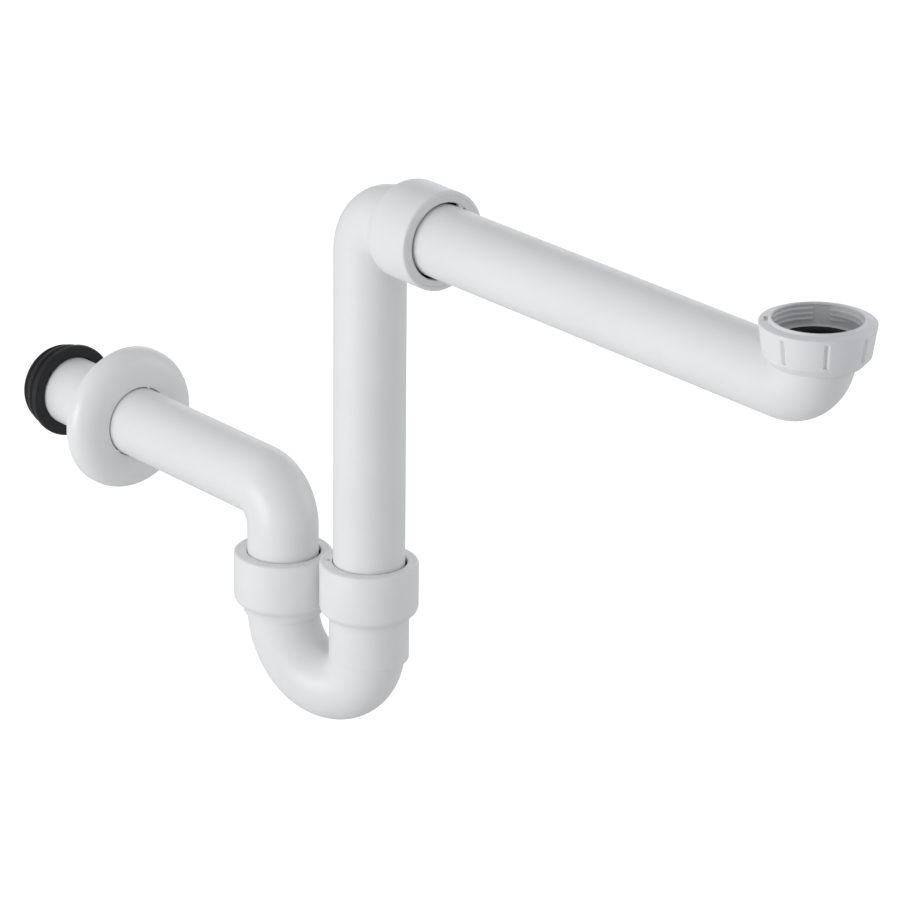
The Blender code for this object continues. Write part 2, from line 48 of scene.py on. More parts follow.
SHOULDER_STEPS = 12
WELD_IN_METRES = 0.000002
NO_RADIUS = 1e-9
SHARP_FROM = math.radians(32)

X = Vector((1, 0, 0))
Y = Vector((0, 1, 0))
Z = Vector((0, 0, 1))
WALL = Vector((0, 0, 0))

# pipes
PIPE_R = 17.3
BORE_R = 15.2
TIP_R = PIPE_R - 0.7
BEVEL = 1.6
ELBOW_R = 18.4
LEG_R = 19.35
TRAP_TUBE_R = 17.4
TRAP_BORE_R = 15.0
FLANGE_R = 19.075

# collars and what sits in them
COLLAR_R = 23.9
COLLAR_LENGTH = 24.2
COLLAR_CHAMFER = 3.7
SOCKET_R = 17.65
SOCKET_DEPTH = 29.2
INLET_SOCKET_DEPTH = 46.5
COUNTERBORE_R = 21.75
COUNTERBORE_DEPTH = 6.8
GROOVE_R = 20.8
GROOVE_DEPTH = 12.0
RING_R = 21.7
RING_DEPTH = 6.5
RING_SKIRT_TOP = 2.8
RING_SHIFT = Vector((0.77, -0.64, 0)) * 0.4
ELBOW_RING_STAND = 0.9
SEAL_TOP = 3.1
SEAL_LENGTH = 8.6
SEAL_GAP = 0.3

# places of the axes
WALL_TO_LEG = 172.8
OUTLET_MOUTH = Vector((0, -WALL_TO_LEG, -31.0))
TRAP_TURN = math.radians(20)
TRAP_HEADING = Vector((math.sin(TRAP_TURN), -math.cos(TRAP_TURN), 0))
LEG_SPACING = 48.7
INLET_RISE = 4.9
INLET_MOUTH = OUTLET_MOUTH + TRAP_HEADING * LEG_SPACING + Z * INLET_RISE
ELBOW_CORNER = Vector((INLET_MOUTH.x, INLET_MOUTH.y, 149.5))
ELBOW_MOUTH = ELBOW_CORNER - Y * 52.7
NUT_CENTRE = ELBOW_CORNER - Y * 302.0

# camera and floor
CAMERA_AZIMUTH = math.radians(-39.7)
CAMERA_ELEVATION = math.radians(21.2)
CAMERA_ROLL = math.radians(0.55)
CAMERA_METRES_AWAY = 2.38
AIM_RIGHT_OF_ELBOW = 38.2
AIM_BELOW_ELBOW = 110.5
FOCAL_PIXELS = 5105
PICTURE_PIXELS = 900
SENSOR_WIDTH = 36.0
FLOOR_HEIGHT_IN_METRES = -0.200
LAMP_CENTRE_IN_METRES = Vector((0.015, -0.26, 0.05))


# ---- shapes


def linked(name, data):
    """A new object in the scene."""
    made = bpy.data.objects.new(name, data)
    bpy.context.scene.collection.objects.link(made)
    return made


def meshed(name, shape):
    """A new object in the scene from a bmesh, which it uses up."""
    mesh = bpy.data.meshes.new(name)
    shape.to_mesh(mesh)
    shape.free()
    return linked(name, mesh)


def centre_line(start, heading, moves):
    """Samples (distance, place, heading) along straight runs and right-angle bends.

    A run is (length,); a bend is (reach along the heading, new heading, reach along that).
    """
    place = Vector(start)
    heading = Vector(heading)
    distance = 0.0
    samples = [(distance, place.copy(), heading.copy())]
    for move in moves:
        if len(move) == 1:
            distance += move[0]
            place = place + heading * move[0]
            samples.append((distance, place.copy(), heading.copy()))
            continue
        along, towards, across = move
        centre = place + towards * across
        for i in range(1, BEND_STEPS + 1):
            angle = math.pi / 2 * i / BEND_STEPS
            cosine, sine = math.cos(angle), math.sin(angle)
            spot = centre - towards * across * cosine + heading * along * sine
            way = heading * along * cosine + towards * across * sine
            distance += (spot - samples[-1][1]).length
            samples.append((distance, spot, way.normalized()))
        place = samples[-1][1].copy()
        heading = Vector(towards)
    return samples


def spot_on(line, distance):
    """The place and heading at a distance; the straight ends of the line run on."""
    for (s0, p0, h0), (s1, p1, h1) in zip(line, line[1:]):
        if distance <= s1 or s1 == line[-1][0]:
            share = (distance - s0) / (s1 - s0)
            inside = min(max(share, 0.0), 1.0)
            return p0.lerp(p1, share), h0.lerp(h1, inside).normalized()


def eased(corners):
    """A closed run of (distance, radius) from corners (distance, radius, easing)."""
    loop = []
    for i, (s, r, ease) in enumerate(corners):
        if not ease:
            loop.append((s, r))
            continue
        here = Vector((s, r))
        before = Vector(corners[i - 1][:2])
        after = Vector(corners[(i + 1) % len(corners)][:2])
        back = (before - here).normalized()
        forth = (after - here).normalized()
        half = back.angle(forth) / 2
        shorter = min((before - here).length, (after - here).length)
        reach = min(ease / math.tan(half), shorter * 0.49)
        radius = reach * math.tan(half)
        middle = here + (back + forth).normalized() * (radius / math.sin(half))
        start = here + back * reach - middle
        end = here + forth * reach - middle
        sweep = start.angle(end)
        for k in range(EASE_STEPS + 1):
            t = k / EASE_STEPS
            a = math.sin((1 - t) * sweep) / math.sin(sweep)
            b = math.sin(t * sweep) / math.sin(sweep)
            point = middle + start * a + end * b
            loop.append((point.x, point.y))
    return loop


def skin(name, loop, line, across, steps=ROUND):
    """A closed mesh, in metres, through rings round a centre line."""
    stations = []
    for (s0, r0), (s1, r1) in zip(loop, loop[1:] + loop[:1]):
        stations.append((s0, r0))
        if r0 < NO_RADIUS and r1 < NO_RADIUS:
            continue
        between = [s for s, _, _ in line if min(s0, s1) + 1e-6 < s < max(s0, s1) - 1e-6]
        if s1 < s0:
            between.reverse()
        stations += [(s, r0 + (r1 - r0) * (s - s0) / (s1 - s0)) for s in between]
    shape = bmesh.new()
    rings = []
    for s, r in stations:
        place, heading = spot_on(line, s)
        side = heading.cross(across).normalized()
        if r < NO_RADIUS:
            rings.append([shape.verts.new(place * MM)])
            continue
        ring = []
        for i in range(steps):
            angle = math.tau * i / steps
            out = across * math.cos(angle) + side * math.sin(angle)
            ring.append(shape.verts.new((place + out * r) * MM))
        rings.append(ring)
    for a, b in zip(rings, rings[1:] + rings[:1]):
        if len(a) == 1 and len(b) == 1:
            continue
        for i in range(steps):
            j = (i + 1) % steps
            corners = [a[i % len(a)], a[j % len(a)], b[j % len(b)], b[i % len(b)]]
            corners = [c for k, c in enumerate(corners) if c not in corners[:k]]
            shape.faces.new(corners)
    bmesh.ops.recalc_face_normals(shape, faces=shape.faces)
    return meshed(name, shape)


def turned(name, loop, origin, heading=Z, steps=ROUND):
    """A ring or solid turned about a straight axis; the loop is of (height, radius) pairs."""
    line = [(0.0, origin, heading), (1.0, origin + heading, heading)]
    return skin(name, loop, line, X, steps)


def block(name, size, place):
    shape = bmesh.new()
    bmesh.ops.create_cube(shape, size=MM, matrix=place @ Matrix.Diagonal((*size, 1)))
    return meshed(name, shape)


def applied(piece):
    """Puts the piece's modifiers into its mesh."""
    bpy.context.view_layer.update()
    seen = piece.evaluated_get(bpy.context.evaluated_depsgraph_get())
    mesh = bpy.data.meshes.new_from_object(seen)
    piece.modifiers.clear()
    piece.data = mesh


def combined(piece, *steps):
    """Joins or cuts the piece with each (operation, tool) in turn, and uses the tools up."""
    for operation, tool in steps:
        change = piece.modifiers.new(operation, "BOOLEAN")
        change.operation = operation
        change.solver = "EXACT"
        change.object = tool
    applied(piece)
    for _, tool in steps:
        bpy.data.objects.remove(tool)
    shape = bmesh.new()
    shape.from_mesh(piece.data)
    bmesh.ops.remove_doubles(shape, verts=shape.verts, dist=WELD_IN_METRES)
    bmesh.ops.dissolve_degenerate(shape, edges=shape.edges, dist=WELD_IN_METRES)
    shape.to_mesh(piece.data)
    shape.free()


def finished(piece, finish, body, node_name):
    """Smooths the piece, gives it its finish and puts it in its node's place."""
    piece.data.materials.clear()
    piece.data.materials.append(finishes[finish])
    for face in piece.data.polygons:
        face.use_smooth = True
    piece.data.set_sharp_from_angle(angle=SHARP_FROM)
    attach(piece, body)
    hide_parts(node_name)


# ---- finishes


def node(tree, kind, **values):
    """A new node with its values.

    A value is named after its input, with _ for a space, or after a setting, with _ before it.
    """
    made = tree.nodes.new(kind)
    for key, value in values.items():
        if key.startswith("_"):
            setattr(made, key[1:], value)
        else:
            made.inputs[key.replace("_", " ")].default_value = value
    return made


def moulded_group():
    """Injection-moulded surface: cloudy tone, a fine orange peel and a finer grain."""
    group = bpy.data.node_groups.new("moulded surface", "ShaderNodeTree")
    sockets = (
        ("INPUT", "Color", ("Low tone", "High tone")),
        ("INPUT", "Float", ("Roughness low", "Roughness high", "Peel", "Grain")),
        ("OUTPUT", "Color", ("Colour",)),
        ("OUTPUT", "Float", ("Roughness",)),
        ("OUTPUT", "Vector", ("Normal",)),
    )
    for side, kind, labels in sockets:
        for label in labels:
            group.interface.new_socket(label, in_out=side, socket_type="NodeSocket" + kind)
    link = group.links.new
    given = node(group, "NodeGroupInput").outputs
    result = node(group, "NodeGroupOutput").inputs
    place = node(group, "ShaderNodeTexCoord")
    cloud = node(group, "ShaderNodeTexNoise", Scale=22.0, Detail=3.0, Roughness=0.55)
    fine = node(group, "ShaderNodeTexNoise", Scale=900.0, Detail=2.0, Roughness=0.6)
    peel = node(group, "ShaderNodeTexNoise", Scale=260.0, Detail=3.0, Roughness=0.5)
    for texture in (cloud, fine, peel):
        link(place.outputs["Object"], texture.inputs["Vector"])

    spread = node(group, "ShaderNodeMapRange", From_Min=0.3, From_Max=0.7)
    link(cloud.outputs["Fac"], spread.inputs["Value"])
    tone = node(group, "ShaderNodeMix", _data_type="RGBA")
    link(spread.outputs["Result"], tone.inputs["Factor"])
    link(given["Low tone"], tone.inputs[6])
    link(given["High tone"], tone.inputs[7])
    link(tone.outputs[2], result["Colour"])

    gloss = node(group, "ShaderNodeMapRange", From_Min=0.25, From_Max=0.75)
    link(peel.outputs["Fac"], gloss.inputs["Value"])
    link(given["Roughness low"], gloss.inputs["To Min"])
    link(given["Roughness high"], gloss.inputs["To Max"])
    link(gloss.outputs["Result"], result["Roughness"])

    height = node(group, "ShaderNodeMath", _operation="ADD")
    for i, (texture, label) in enumerate(((peel, "Peel"), (fine, "Grain"))):
        scaled = node(group, "ShaderNodeMath", _operation="MULTIPLY")
        link(texture.outputs["Fac"], scaled.inputs[0])
        link(given[label], scaled.inputs[1])
        link(scaled.outputs["Value"], height.inputs[i])
    bump = node(group, "ShaderNodeBump", Strength=1.0, Distance=0.001)
    link(height.outputs["Value"], bump.inputs["Height"])
    link(bump.outputs["Normal"], result["Normal"])
    return group


def moulded_finish(name, low, high, roughness, peel, grain, specular):
    material = bpy.data.materials.new(name)
    material.use_nodes = True
    tree = material.node_tree
    shader = tree.nodes["Principled BSDF"]
    surface = node(tree, "ShaderNodeGroup", _node_tree=MOULDED)
    values = {
        "Low tone": (*low, 1), "High tone": (*high, 1),
        "Roughness low": roughness[0], "Roughness high": roughness[1], "Peel": peel, "Grain": grain,
    }
    for label, value in values.items():
        surface.inputs[label].default_value = value
    shader.inputs["Specular IOR Level"].default_value = specular
    tree.links.new(surface.outputs["Colour"], shader.inputs["Base Color"])
    for label in ("Roughness", "Normal"):
        tree.links.new(surface.outputs[label], shader.inputs[label])
    return material


MOULDED = moulded_group()

# of each finish: low tone, high tone, roughness from and to, peel, grain, specular level
FINISHES = {
    "pipe white": ((0.780, 0.780, 0.780), (0.815, 0.814, 0.811), (0.30, 0.42), 0.02, 0.006, 0.45),
    "collar white": ((0.775, 0.775, 0.775), (0.814, 0.814, 0.811), (0.34, 0.46), 0.03, 0.01, 0.45),
    "ring white": ((0.765, 0.765, 0.762), (0.804, 0.804, 0.80), (0.36, 0.5), 0.03, 0.012, 0.4),
    "nut white": ((0.765, 0.765, 0.766), (0.804, 0.804, 0.805), (0.36, 0.5), 0.03, 0.012, 0.4),
    "cover white": ((0.785, 0.785, 0.785), (0.822, 0.82, 0.816), (0.28, 0.38), 0.015, 0.005, 0.5),
    "seal black": ((0.008, 0.008, 0.009), (0.016, 0.016, 0.017), (0.45, 0.62), 0.04, 0.05, 0.35),
    "gasket black": ((0.006, 0.006, 0.007), (0.013, 0.013, 0.014), (0.5, 0.7), 0.03, 0.06, 0.3),
}
finishes = {name: moulded_finish(name, *values) for name, values in FINISHES.items()}


# ---- collars, rings and seals


def collar(name, mouth, heading, length):
    """The solid of a push-fit collar on its leg, with its eased edges."""
    foot = COLLAR_LENGTH + COLLAR_CHAMFER
    corners = [
        (0, 0, 0), (0, COLLAR_R, 1.3), (COLLAR_LENGTH, COLLAR_R, 4.0),
        (foot - 0.7, LEG_R + 0.85, 6.0), (foot + 2.0, LEG_R, 9.0),
        (length, LEG_R, 0.5), (length, 0, 0),
    ]
    return turned(name, eased(corners), mouth, heading)


def socket(name, mouth, heading, depth):
    """What is cut out of a collar for the ring, the lip seal and the pipe."""
    before = -3
    corners = [
        (before, 0, 0), (before, COUNTERBORE_R, 0),
        (COUNTERBORE_DEPTH, COUNTERBORE_R, 0), (COUNTERBORE_DEPTH, GROOVE_R, 0),
        (GROOVE_DEPTH, GROOVE_R, 0), (GROOVE_DEPTH, SOCKET_R, 0.4),
        (depth, SOCKET_R, 0), (depth, 0, 0),
    ]
    return turned(name, eased(corners), mouth, heading)


def retaining_ring(node_name, mouth, heading, tool_way, body, stand=0.0):
    """The pressed-in ring with its skirt.

    A flush ring has an off-centre bore and a notch for a tool. One that stands out of the
    mouth has a wider round bore and a tab.
    """
    inner = PIPE_R + (1.2 if stand else 0.75)
    corners = [
        (-stand, RING_R, 0.12), (RING_DEPTH, RING_R, 0.2), (RING_DEPTH, GROOVE_R, 0.2),
        (RING_SKIRT_TOP, GROOVE_R, 0.3), (RING_SKIRT_TOP, inner, 0.3), (-stand, inner, 0.4),
    ]
    ring = turned(node_name + "_fine", eased(corners), mouth, heading)
    way = X * math.cos(tool_way) + heading.cross(X) * math.sin(tool_way)
    turn = Matrix((way, heading.cross(way), heading)).transposed().to_4x4()
    spot = mouth - heading * stand + way * (inner + 1.2)
    place = Matrix.Translation(spot * MM) @ turn
    if stand:
        place = place @ Matrix.Translation((-1.4 * MM, 0, 1.2 * MM))
        combined(ring, ("UNION", block("tab", (1.5, 3.4, 1.7), place)))
    else:
        for vertex in ring.data.vertices:
            off = vertex.co / MM - mouth
            if math.hypot(off.x, off.y) < inner + 0.6:
                vertex.co += RING_SHIFT * MM
        combined(ring, ("DIFFERENCE", block("notch", (1.6, 1.8, 1.7), place)))
    finished(ring, "ring white", body, node_name)


def lip_seal(node_name, mouth, heading, body):
    """A seal with two lips, clear of its groove and of the pipe."""
    outer = GROOVE_R - SEAL_GAP
    inner = PIPE_R + SEAL_GAP
    hollow = inner + 1.3
    foot = SEAL_TOP + SEAL_LENGTH
    corners = [
        (SEAL_TOP, outer, 0.5), (foot, outer, 0.5), (foot, inner, 0.6), (foot - 2.4, inner, 0.5),
        (foot - 3.5, hollow, 0.4), (foot - 4.6, hollow, 0.4), (foot - 5.6, inner, 0.4),
        (foot - 6.8, inner, 0.4), (SEAL_TOP, hollow, 0.4),
    ]
    seal = turned(node_name + "_fine", eased(corners), mouth, heading)
    finished(seal, "seal black", body, node_name)


# ---- pipes


def make_wall_seal():
    """A push-in seal: a rounded front flange, a second lip and a tapered tail."""
    inner = 17.6
    corners = [
        (0, inner, 0.7), (0, 23.6, 1.0), (3.2, 23.6, 0.6), (3.2, 20.8, 0.5),
        (6.2, 20.8, 0.6), (7.2, 22.2, 0.5), (9.6, 21.9, 0.5), (9.6, 20.4, 0.4),
        (12.4, 20.2, 0.3), (12.8, 20.9, 0.3), (13.4, 20.7, 0.3), (15.2, 19.8, 0.4),
        (15.2, inner, 0.3),
    ]
    seal = turned("wall_seal_fine", eased(corners), WALL, Y)
    finished(seal, "seal black", "wall", "wall_seal")


def make_rosette():
    """A thin dome, flat round the pipe, with a short hub inside."""
    front = -55.8
    depth = 11.4
    wall = 1.8
    hub_end = front + 8.5
    bore = PIPE_R + 0.6
    hub = bore + 1.9
    outer_r = 36.1
    inner_r = outer_r - wall
    flat = bore + (outer_r - bore) * 0.35

    def dome(crown, radius, fall):
        corners = []
        for i in range(DOME_STEPS + 1):
            angle = math.pi / 2 * i / DOME_STEPS
            height = crown + (1 - math.cos(angle)) * depth * fall
            corners.append((height, flat + (radius - flat) * math.sin(angle), 0))
        return corners

    corners = [(front, bore, 0.4)] + dome(front, outer_r, 0.75)
    corners += [(front + depth, outer_r, 0.4), (front + depth, inner_r, 0.4)]
    corners += reversed(dome(front + wall, inner_r, 0.70))
    corners += [(front + wall, hub, 0.6), (hub_end, hub, 0.3), (hub_end, bore, 0.3)]
    rosette = turned("wall_rosette_fine", eased(corners), WALL, Y, COVER_ROUND)
    finished(rosette, "cover white", "rosette", "wall_rosette")


def make_outlet_pipe():
    leg = 56.0
    tail = 13.5
    foot = Vector((0, -WALL_TO_LEG, -leg))
    bend = (ELBOW_R, Y, ELBOW_R)
    line = centre_line(foot, Z, [(leg - ELBOW_R,), bend, (WALL_TO_LEG - ELBOW_R + tail,)])
    length = line[-1][0]
    corners = [
        (0, TIP_R, 0.2), (BEVEL, PIPE_R, 0.4), (length - BEVEL, PIPE_R, 0.4),
        (length, TIP_R, 0.2), (length, BORE_R, 0.3), (0, BORE_R, 0.3),
    ]
    pipe = skin("outlet_pipe_fine", eased(corners), line, X)
    finished(pipe, "pipe white", "outlet", "outlet_pipe")


def make_trap_bend():
    """The U of two bends that are not quite round, with a collar at each end."""
    outlet_drop = 34.73
    inlet_drop = 22.23
    inlet_reach = 20.5
    bottom = INLET_RISE - INLET_SOCKET_DEPTH - inlet_drop
    down = -(bottom + outlet_drop)
    up = -(bottom + inlet_drop) + INLET_RISE
    line = centre_line(OUTLET_MOUTH, -Z, [
        (down,), (outlet_drop, TRAP_HEADING, LEG_SPACING - inlet_reach),
        (inlet_reach, Z, inlet_drop), (up,),
    ])
    length = line[-1][0]
    across = Z.cross(TRAP_HEADING)
    start = COLLAR_LENGTH - 4
    bore_start = 27.0
    bore_end = length - 44.0
    solid = [
        (start, 0), (start, TRAP_TUBE_R), (length - start, TRAP_TUBE_R), (length - start, 0),
    ]
    bore = [(bore_start, 0), (bore_start, TRAP_BORE_R), (bore_end, TRAP_BORE_R), (bore_end, 0)]
    trap = skin("trap_bend_fine", solid, line, across)
    combined(
        trap,
        ("UNION", collar("outlet collar", OUTLET_MOUTH, -Z, 31.0)),
        ("UNION", collar("inlet collar", INLET_MOUTH, -Z, 50.0)),
        ("DIFFERENCE", skin("trap bore", bore, line, across)),
        ("DIFFERENCE", socket("outlet socket", OUTLET_MOUTH, -Z, SOCKET_DEPTH)),
        ("DIFFERENCE", socket("inlet socket", INLET_MOUTH, -Z, INLET_SOCKET_DEPTH)),
    )
    finished(trap, "collar white", "trap", "trap_bend")


def pipe_solid(name, line, end):
    """A pipe not yet bored, bevelled at its near end."""
    corners = [(0, 0, 0), (0, TIP_R, 0.2), (BEVEL, PIPE_R, 0.4), (end, PIPE_R, 0), (end, 0, 0)]
    return skin(name, eased(corners), line, X)


def pipe_bore(name, line, end):
    return skin(name, [(-3, 0), (-3, BORE_R), (end, BORE_R), (end, 0)], line, X)


def make_downpipe():
    """The straight pipe, its elbow and the domed body of the elbow's socket."""
    foot = Vector((ELBOW_CORNER.x, ELBOW_CORNER.y, -67.1))
    rise = ELBOW_CORNER.z - foot.z
    run = 30.0
    line = centre_line(foot, Z, [(rise - ELBOW_R,), (ELBOW_R, -Y, ELBOW_R), (run,)])
    end = line[-1][0] - run + (25.6 - ELBOW_R)
    back = 30.0
    shoulder = 8.5
    profile = [(-ELBOW_RING_STAND, 0, 0), (-ELBOW_RING_STAND, COLLAR_R, 1.1)]
    for i in range(SHOULDER_STEPS + 1):
        angle = math.pi / 2 * i / SHOULDER_STEPS
        depth = back - shoulder * (1 - math.sin(angle))
        profile.append((depth, TIP_R + (COLLAR_R - TIP_R) * math.cos(angle), 0))
    profile.append((back, 0, 0))
    pipe = pipe_solid("downpipe_fine", line, end)
    combined(
        pipe,
        ("UNION", turned("elbow socket body", eased(profile), ELBOW_MOUTH, Y)),
        ("DIFFERENCE", pipe_bore("downpipe bore", line, end)),
        ("DIFFERENCE", socket("elbow socket", ELBOW_MOUTH, Y, SOCKET_DEPTH)),
    )
    finished(pipe, "pipe white", "down", "downpipe")


def make_inlet_tube():
    """The long arm with its bend up, its neck in the nut and its flange."""
    start = ELBOW_MOUTH + Y * 25.0
    run = start.y - NUT_CENTRE.y
    rise = 20.0
    line = centre_line(start, -Y, [(run - ELBOW_R,), (ELBOW_R, Z, ELBOW_R), (rise,)])
    top = line[-1][0] - rise + (19.4 - ELBOW_R)
    above = 32
    relief = [(13.0, 17.0), (13.0, 23.8), (above, 23.8), (above, 17.0)]
    flange = [(16.7, 0, 0), (16.7, FLANGE_R, 0.3), (19.7, FLANGE_R, 0.3), (19.7, 0, 0)]
    roof = [(11.0, 14.99), (11.0, 25.8), (above, 25.8), (above, 14.99)]
    tube = pipe_solid("inlet_tube_fine", line, top)
    relief_tool = turned("nut relief", relief, NUT_CENTRE, Z, NUT_ROUND)
    flange_tool = turned("flange", eased(flange), NUT_CENTRE)
    bore = pipe_bore("arm bore", line, top + 4)
    combined(bore, ("DIFFERENCE", turned("bore roof", roof, NUT_CENTRE)))
    combined(tube, ("DIFFERENCE", relief_tool), ("UNION", flange_tool), ("DIFFERENCE", bore))
    finished(tube, "pipe white", "arm", "inlet_tube")


def make_gasket():
    low = 20.0
    high = 22.5
    corners = [
        (low, BORE_R, 0.3), (low, FLANGE_R, 0.3), (high, FLANGE_R, 0.5), (high, BORE_R, 0.5),
    ]
    gasket = turned("inlet_gasket_fine", eased(corners), NUT_CENTRE)
    finished(gasket, "gasket black", "arm", "inlet_gasket")


# ---- union nut


def sums(tree, operation, first, second=None):
    """A math node on one or two numbers or sockets; returns its result."""
    made = node(tree, "ShaderNodeMath", _operation=operation)
    for i, value in enumerate((first, second)):
        if isinstance(value, (int, float)):
            made.inputs[i].default_value = value
        elif value is not None:
            tree.links.new(value, made.inputs[i])
    return made.outputs["Value"]


def polar(tree, geometry, radius, angle, height):
    """Sets the geometry's points at a radius, an angle and a height."""
    spot = node(tree, "ShaderNodeCombineXYZ")
    for axis, share in (("X", "COSINE"), ("Y", "SINE")):
        tree.links.new(sums(tree, "MULTIPLY", radius, sums(tree, share, angle)), spot.inputs[axis])
    tree.links.new(height, spot.inputs["Z"])
    moved = node(tree, "GeometryNodeSetPosition")
    tree.links.new(geometry, moved.inputs["Geometry"])
    tree.links.new(spot.outputs["Vector"], moved.inputs["Position"])
    return moved.outputs["Geometry"]


def thread_ridge(tree, given):
    """An internal thread ridge that sinks into the wall at evenly spaced channels.

    It is a grid whose long side runs round the nut; its lanes 0 and 3 are the root, 1 and 2
    the crest, and lane 4 closes it on lane 0.
    """
    grid = node(tree, "GeometryNodeMeshGrid", Size_X=1.0, Size_Y=1.0, Vertices_Y=5)
    tree.links.new(given["Steps"], grid.inputs["Vertices X"])
    place = node(tree, "GeometryNodeInputPosition")
    parts = node(tree, "ShaderNodeSeparateXYZ")
    tree.links.new(place.outputs["Position"], parts.inputs["Vector"])
    share = sums(tree, "ADD", parts.outputs["X"], 0.5)
    lane = sums(tree, "MULTIPLY", sums(tree, "ADD", parts.outputs["Y"], 0.5), 4.0)
    angle = sums(tree, "MULTIPLY", share, sums(tree, "MULTIPLY", given["Turns"], math.tau))
    # lanes 1 and 2 are the crest: 1 there, 0 on the root lanes
    half_pair = 0.6
    from_crest = sums(tree, "ABSOLUTE", sums(tree, "SUBTRACT", lane, 1.5))
    crest = sums(tree, "LESS_THAN", from_crest, half_pair)
    # lanes 2 and 3 are the ridge's upper side: 1 there, -1 on the lower side
    from_high = sums(tree, "ABSOLUTE", sums(tree, "SUBTRACT", lane, 2.5))
    high = sums(tree, "LESS_THAN", from_high, half_pair)
    sign = sums(tree, "SUBTRACT", sums(tree, "MULTIPLY", high, 2.0), 1.0)
    # distance from the middle of the nearest channel, as an angle
    spacing = sums(tree, "DIVIDE", math.tau, given["Channels"])
    from_first = sums(tree, "SUBTRACT", angle, given["First channel"])
    nearest = sums(tree, "ROUND", sums(tree, "DIVIDE", from_first, spacing))
    middle = sums(tree, "MULTIPLY", nearest, spacing)
    off = sums(tree, "ABSOLUTE", sums(tree, "SUBTRACT", from_first, middle))
    fade = node(tree, "ShaderNodeMapRange")
    tree.links.new(off, fade.inputs["Value"])
    tree.links.new(given["Channel half angle"], fade.inputs["From Min"])
    tree.links.new(sums(tree, "ADD", given["Channel half angle"], 0.03), fade.inputs["From Max"])
    # the ridge rises from nothing over its first and last steps
    ends = sums(tree, "MINIMUM", share, sums(tree, "SUBTRACT", 1.0, share))
    lead = sums(tree, "MINIMUM", sums(tree, "MULTIPLY", ends, 25.0), 1.0)
    standing = sums(tree, "MULTIPLY", fade.outputs["Result"], lead)
    sunk_root = sums(tree, "ADD", given["Root radius"], given["Sink"])
    low_crest = sums(tree, "ADD", given["Root radius"], sums(tree, "MULTIPLY", given["Sink"], 0.4))
    full_rise = sums(tree, "SUBTRACT", low_crest, given["Crest radius"])
    crest_r = sums(tree, "SUBTRACT", low_crest, sums(tree, "MULTIPLY", standing, full_rise))
    crest_part = sums(tree, "MULTIPLY", crest, sums(tree, "SUBTRACT", crest_r, sunk_root))
    radius = sums(tree, "ADD", sunk_root, crest_part)
    narrowing = sums(tree, "SUBTRACT", given["Crest width"], given["Root width"])
    width = sums(tree, "ADD", given["Root width"], sums(tree, "MULTIPLY", crest, narrowing))
    aside = sums(tree, "MULTIPLY", sign, sums(tree, "MULTIPLY", width, 0.5))
    climb = sums(tree, "MULTIPLY", sums(tree, "DIVIDE", angle, math.tau), given["Pitch"])
    height = sums(tree, "ADD", given["Start height"], sums(tree, "ADD", climb, aside))
    welded = node(tree, "GeometryNodeMergeByDistance", Distance=0.001)
    ridge = polar(tree, grid.outputs["Mesh"], radius, angle, height)
    tree.links.new(ridge, welded.inputs["Geometry"])
    return welded.outputs["Geometry"]


def grip_grooves(tree, given):
    """V grooves stood evenly round a tapered side."""
    circle = node(tree, "GeometryNodeMeshCircle")
    tree.links.new(given["Count"], circle.inputs["Vertices"])
    index = node(tree, "GeometryNodeInputIndex").outputs["Index"]
    step = sums(tree, "DIVIDE", math.tau, given["Count"])
    angle = sums(tree, "ADD", sums(tree, "MULTIPLY", index, step), given["First"])
    points = polar(tree, circle.outputs["Mesh"], given["Radius"], angle, given["Height"])
    groove = node(tree, "GeometryNodeMeshCylinder", Vertices=4, Radius=1.0)
    tree.links.new(given["Length"], groove.inputs["Depth"])
    size = node(tree, "ShaderNodeCombineXYZ", Z=1.0)
    tree.links.new(given["Depth"], size.inputs["X"])
    tree.links.new(sums(tree, "MULTIPLY", given["Width"], 0.5), size.inputs["Y"])
    lean = node(tree, "ShaderNodeCombineXYZ")
    tree.links.new(given["Taper"], lean.inputs["Y"])
    tree.links.new(angle, lean.inputs["Z"])
    stood = node(tree, "GeometryNodeInstanceOnPoints")
    tree.links.new(points, stood.inputs["Points"])
    tree.links.new(groove.outputs["Mesh"], stood.inputs["Instance"])
    tree.links.new(lean.outputs["Vector"], stood.inputs["Rotation"])
    tree.links.new(size.outputs["Vector"], stood.inputs["Scale"])
    return stood.outputs["Instances"]


